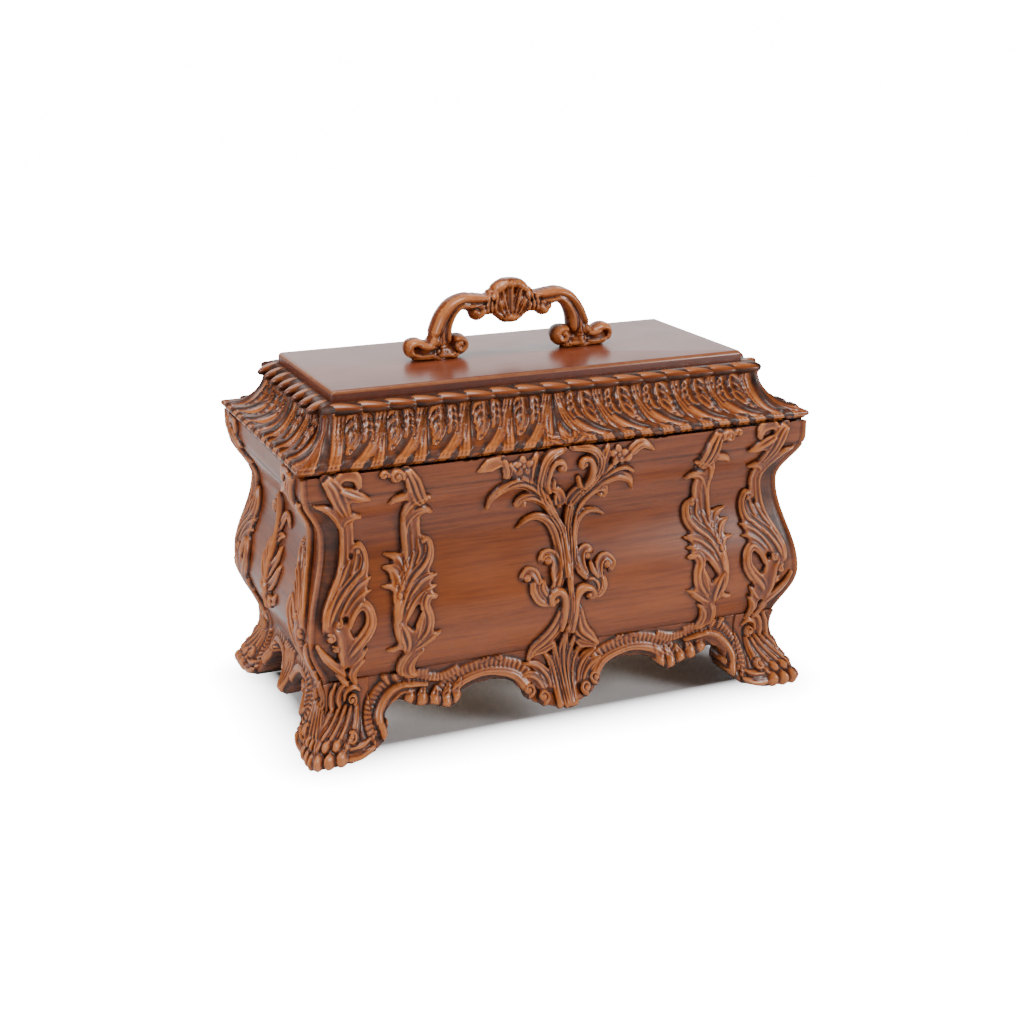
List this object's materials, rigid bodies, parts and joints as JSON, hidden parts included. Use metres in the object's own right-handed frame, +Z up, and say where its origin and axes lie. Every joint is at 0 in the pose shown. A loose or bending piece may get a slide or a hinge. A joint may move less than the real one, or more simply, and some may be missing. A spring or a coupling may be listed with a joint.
{
  "type": "hand crank music box",
  "caption": "Carved swelling wooden casket on scroll feet with a hinged lid and bail handle; a side crank turns a pinned cylinder movement inside.",
  "frame": {"origin": "middle of the case on the plane that the four feet stand on", "axes": "+X along the front to the crank end, +Y from the front to the hinged back, +Z up"},
  "size_m": [0.32, 0.1723, 0.242],
  "materials": {
    "carved_wood": "waxed carved mahogany, satin",
    "top_board": "french polished mahogany, glossy",
    "pale_wood": "bare pale secondary wood",
    "knob_wood": "turned dark wood, polished",
    "brass": "polished brass",
    "steel": "bright steel",
    "velvet": "dark red velvet"
  },
  "bodies": {
    "case": {"front_panel": "carved_wood", "back_panel": "carved_wood", "left_end_panel": "carved_wood", "right_end_panel": "carved_wood", "bottom_board": "pale_wood", "front_apron": "carved_wood", "back_apron": "carved_wood", "left_apron": "carved_wood", "right_apron": "carved_wood", "foot_front_left": "carved_wood", "foot_front_right": "carved_wood", "foot_back_left": "carved_wood", "foot_back_right": "carved_wood", "foot_screws": "steel", "glue_blocks": "pale_wood", "front_spray": "carved_wood", "back_spray": "carved_wood", "leaf_drops": "carved_wood", "left_end_spray": "carved_wood", "corner_leaves_front": "carved_wood", "corner_leaves_back": "carved_wood", "partition": "carved_wood", "compartment_lining": "velvet", "soundboard": "pale_wood", "soundboard_cleats": "pale_wood", "bedplate": "brass", "movement_screws": "steel", "cylinder_bracket": "brass", "train_plates": "brass", "comb_base": "brass", "comb": "steel", "comb_screws": "steel", "crank_bush": "brass", "crank_escutcheon": "brass", "hinge_fixed_leaves": "brass", "hinge_pins": "brass", "hinge_screws_case": "brass"},
    "lid": {"lid_front_frame": "carved_wood", "lid_back_frame": "carved_wood", "lid_left_frame": "carved_wood", "lid_right_frame": "carved_wood", "lid_top_board": "top_board", "gadroon_strips": "carved_wood", "lid_lining": "velvet", "handle": "carved_wood", "handle_screws": "steel", "hinge_moving_leaves": "brass", "hinge_screws_lid": "brass"},
    "crank": {"crank_shaft": "steel", "crank_pinion": "steel", "crank_arm": "brass", "crank_nut": "brass", "knob_pin": "steel"},
    "knob": {"crank_knob": "knob_wood"},
    "idler": {"idler_arbor": "steel", "idler_wheel": "brass"},
    "cylinder": {"cylinder_drum": "brass", "cylinder_pins": "steel", "cylinder_arbor": "steel", "cylinder_wheel": "brass"}
  },
  "joints": [
    {"name": "lid_hinge", "type": "hinge", "parent": "case", "child": "lid", "pos_m": [0, 0.0841, 0.1632], "axis": [-1, 0, 0], "range_deg": [0, 100]},
    {"name": "crank_turn", "type": "hinge", "parent": "case", "child": "crank", "pos_m": [0.126, 0, 0.127], "axis": [1, 0, 0], "continuous": true},
    {"name": "knob_spin", "type": "hinge", "parent": "crank", "child": "knob", "pos_m": [0.155, 0, 0.101], "axis": [1, 0, 0], "continuous": true},
    {"name": "idler_turn", "type": "hinge", "parent": "case", "child": "idler", "pos_m": [0.106, 0.02167, 0.13267], "axis": [1, 0, 0], "continuous": true},
    {"name": "cylinder_turn", "type": "hinge", "parent": "case", "child": "cylinder", "pos_m": [0.06, 0.016, 0.111], "axis": [1, 0, 0], "continuous": true}
  ],
  "couplings": [
    {"joint": "idler_turn", "follows": "crank_turn", "ratio": -0.33333},
    {"joint": "cylinder_turn", "follows": "crank_turn", "ratio": 0.11111}
  ]
}
